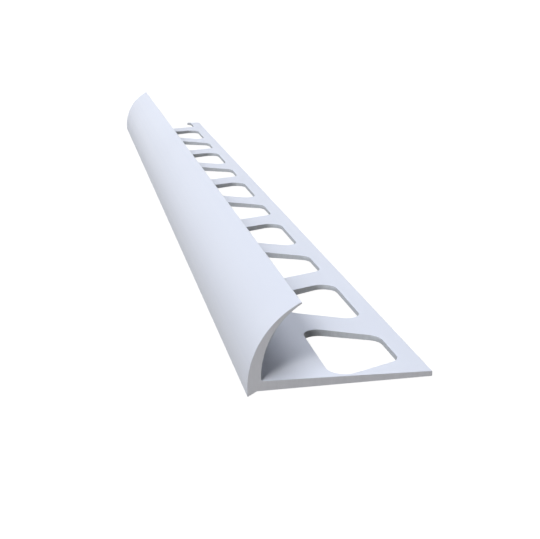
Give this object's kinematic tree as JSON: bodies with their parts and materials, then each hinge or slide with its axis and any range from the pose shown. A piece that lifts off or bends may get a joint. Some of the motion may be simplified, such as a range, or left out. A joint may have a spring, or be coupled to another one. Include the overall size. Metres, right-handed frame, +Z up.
{
  "type": "tile edge trim",
  "caption": "Round-edge tile trim: extruded white plastic with a crescent quarter-round face, a flat leg punched with keystone holes for adhesive, and a small lip at the foot.",
  "frame": {"origin": "middle of the bounding box at its bottom: half way along the length and across the width, level with the tip of the lip", "axes": "+X from the round face out along the leg, +Y along the length, +Z up from the leg to the tile"},
  "size_m": [0.025, 0.222, 0.0124],
  "materials": {
    "white_pvc": "satin, cool white"
  },
  "bodies": {
    "root": {"edge_trim": "white_pvc"}
  },
  "joints": []
}
